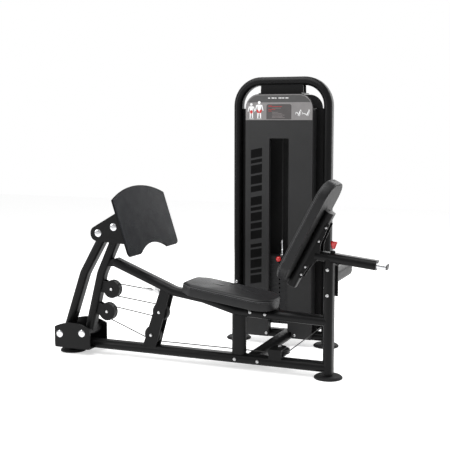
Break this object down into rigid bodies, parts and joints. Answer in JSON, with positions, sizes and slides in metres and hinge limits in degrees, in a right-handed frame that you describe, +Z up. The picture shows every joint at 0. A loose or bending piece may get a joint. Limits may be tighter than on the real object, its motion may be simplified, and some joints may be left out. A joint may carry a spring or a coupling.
{
  "type": "leg press machine",
  "caption": "Seated leg press gym machine: tilting foot plate on a four-bar linkage, padded seat and sliding back rest, cable drive and a shrouded pin-select weight stack.",
  "frame": {"origin": "centre of the footprint, on the floor", "axes": "+X from the foot plate towards the back rest, along the press; +Y from the seat towards the weight stack; +Z up"},
  "size_m": [1.9178, 1.072, 1.589],
  "materials": {
    "frame_paint": "satin black powder coat",
    "cover_paint": "dark grey powder coat",
    "panel_print": null,
    "chrome": "polished chrome plate",
    "zinc": "bright zinc-plated steel",
    "plate_paint": "black painted weight plates",
    "vinyl": "black upholstery vinyl",
    "board": "black moulded backing board",
    "foot_rubber": "black moulded rubber",
    "tread_rubber": "ribbed rubber sheet",
    "black_plastic": "black moulded plastic",
    "pulley_nylon": "black nylon",
    "cable_jacket": "black nylon-coated steel cable",
    "red_plastic": "red moulded plastic"
  },
  "bodies": {
    "frame": {"adjuster_sleeve": "frame_paint", "base_tube": "frame_paint", "cable_anchor": "zinc", "cable_drop": "cable_jacket", "cable_run": "cable_jacket", "cable_strands": "cable_jacket", "feet": "foot_rubber", "floor_cross_tube": "frame_paint", "frame_bolts": "zinc", "front_shroud": "cover_paint", "guide_rods": "chrome", "link_stop": "frame_paint", "lower_pivot_shafts": "chrome", "pivot_box": "frame_paint", "placard": "panel_print", "pulley_axles": "zinc", "pulley_bracket": "frame_paint", "pulley_mounts": "frame_paint", "rear_shroud": "cover_paint", "rear_upright": "frame_paint", "seat_beam": "frame_paint", "seat_board": "board", "seat_brackets": "frame_paint", "seat_pad": "vinyl", "seat_post": "frame_paint", "sleeve_liners": "black_plastic", "stack_bumpers": "foot_rubber", "tie_beam": "frame_paint", "tower_base_tube": "frame_paint", "tower_brackets": "frame_paint", "tower_hoop": "frame_paint", "weight_plates": "plate_paint"},
    "rear_link": {"rear_link": "frame_paint", "link_pulley_axles": "zinc", "cable_on_link": "cable_jacket"},
    "front_link": {"front_link": "frame_paint"},
    "foot_carrier": {"foot_plate_carrier": "frame_paint", "upper_pivot_shafts": "chrome", "foot_plate": "frame_paint", "foot_mat": "tread_rubber"},
    "pulley_link_upper": {"link_pulley_upper": "pulley_nylon"},
    "pulley_link_lower": {"link_pulley_lower": "pulley_nylon"},
    "pulley_bracket_upper": {"bracket_pulley_upper": "pulley_nylon"},
    "pulley_bracket_lower": {"bracket_pulley_lower": "pulley_nylon"},
    "pulley_floor": {"floor_pulley": "pulley_nylon"},
    "pulley_corner": {"corner_pulley": "pulley_nylon"},
    "pulley_riser": {"riser_pulley": "pulley_nylon"},
    "pulley_top": {"top_pulley": "pulley_nylon"},
    "back_carriage": {"back_board": "board", "back_pad": "vinyl", "back_frame": "frame_paint", "back_gussets": "frame_paint", "end_caps": "black_plastic", "slider_tube": "chrome", "back_bolts": "zinc"},
    "pop_pin": {"pop_pin": "red_plastic"},
    "weight_carriage": {"head_plate": "plate_paint", "selector_stem": "chrome"},
    "selector": {"selector_pin": "red_plastic"}
  },
  "joints": [
    {"name": "press", "type": "hinge", "parent": "frame", "child": "rear_link", "pos_m": [-0.767, -0.236, 0.13], "axis": [0, -1, 0], "range_deg": [0, 36], "deforming": ["cable_strands"]},
    {"name": "front_link_swing", "type": "hinge", "parent": "frame", "child": "front_link", "pos_m": [-0.913, -0.236, 0.117], "axis": [0, -1, 0], "range_deg": [0, 38]},
    {"name": "foot_carrier_tilt", "type": "hinge", "parent": "rear_link", "child": "foot_carrier", "pos_m": [-0.552, -0.236, 0.75], "axis": [0, -1, 0], "range_deg": [-54, 0]},
    {"name": "stack_lift", "type": "slide", "parent": "frame", "child": "weight_carriage", "axis": [0, 0, 1], "range_m": [0, 0.57], "deforming": ["cable_drop"]},
    {"name": "link_upper_pulley_spin", "type": "hinge", "parent": "rear_link", "child": "pulley_link_upper", "pos_m": [-0.617, -0.236, 0.382], "axis": [0, -1, 0], "range_deg": [-302, 0]},
    {"name": "link_lower_pulley_spin", "type": "hinge", "parent": "rear_link", "child": "pulley_link_lower", "pos_m": [-0.648, -0.236, 0.25], "axis": [0, -1, 0], "range_deg": [-747, 0]},
    {"name": "bracket_upper_pulley_spin", "type": "hinge", "parent": "frame", "child": "pulley_bracket_upper", "pos_m": [-0.31, -0.236, 0.276], "axis": [0, -1, 0], "range_deg": [0, 596]},
    {"name": "bracket_lower_pulley_spin", "type": "hinge", "parent": "frame", "child": "pulley_bracket_lower", "pos_m": [-0.361, -0.236, 0.142], "axis": [0, -1, 0], "range_deg": [-914, 0]},
    {"name": "floor_pulley_spin", "type": "hinge", "parent": "frame", "child": "pulley_floor", "pos_m": [0.371, -0.186, 0.106], "axis": [0, 0, 1], "range_deg": [-662, 0]},
    {"name": "corner_pulley_spin", "type": "hinge", "parent": "frame", "child": "pulley_corner", "pos_m": [0.371, 0.459, 0.106], "axis": [0, 0, 1], "range_deg": [-662, 0]},
    {"name": "riser_pulley_spin", "type": "hinge", "parent": "frame", "child": "pulley_riser", "pos_m": [0.231, 0.509, 0.156], "axis": [0, -1, 0], "range_deg": [0, 662]},
    {"name": "top_pulley_spin", "type": "hinge", "parent": "frame", "child": "pulley_top", "pos_m": [0.181, 0.459, 1.425], "axis": [1, 0, 0], "range_deg": [-662, 0]},
    {"name": "back_adjust", "type": "slide", "parent": "frame", "child": "back_carriage", "axis": [-0.994, 0, 0.1097], "range_m": [0, 0.2]},
    {"name": "pop_pin_pull", "type": "slide", "parent": "frame", "child": "pop_pin", "axis": [0.1097, 0, 0.994], "range_m": [-0.0085, 0]},
    {"name": "selector_pull", "type": "slide", "parent": "weight_carriage", "child": "selector", "axis": [0, -1, 0], "range_m": [0, 0.09]}
  ],
  "couplings": [
    {"joint": "front_link_swing", "follows": "press", "ratio": 1.0375},
    {"joint": "foot_carrier_tilt", "follows": "press", "ratio": -1.484},
    {"joint": "stack_lift", "follows": "press", "m_per_rad": 0.8993},
    {"joint": "link_upper_pulley_spin", "follows": "press", "ratio": -7.9602},
    {"joint": "link_lower_pulley_spin", "follows": "press", "ratio": -20.346},
    {"joint": "bracket_upper_pulley_spin", "follows": "press", "ratio": 16.136},
    {"joint": "bracket_lower_pulley_spin", "follows": "press", "ratio": -24.98},
    {"joint": "floor_pulley_spin", "follows": "press", "ratio": -17.986},
    {"joint": "corner_pulley_spin", "follows": "press", "ratio": -17.986},
    {"joint": "riser_pulley_spin", "follows": "press", "ratio": 17.986},
    {"joint": "top_pulley_spin", "follows": "press", "ratio": -17.986}
  ]
}
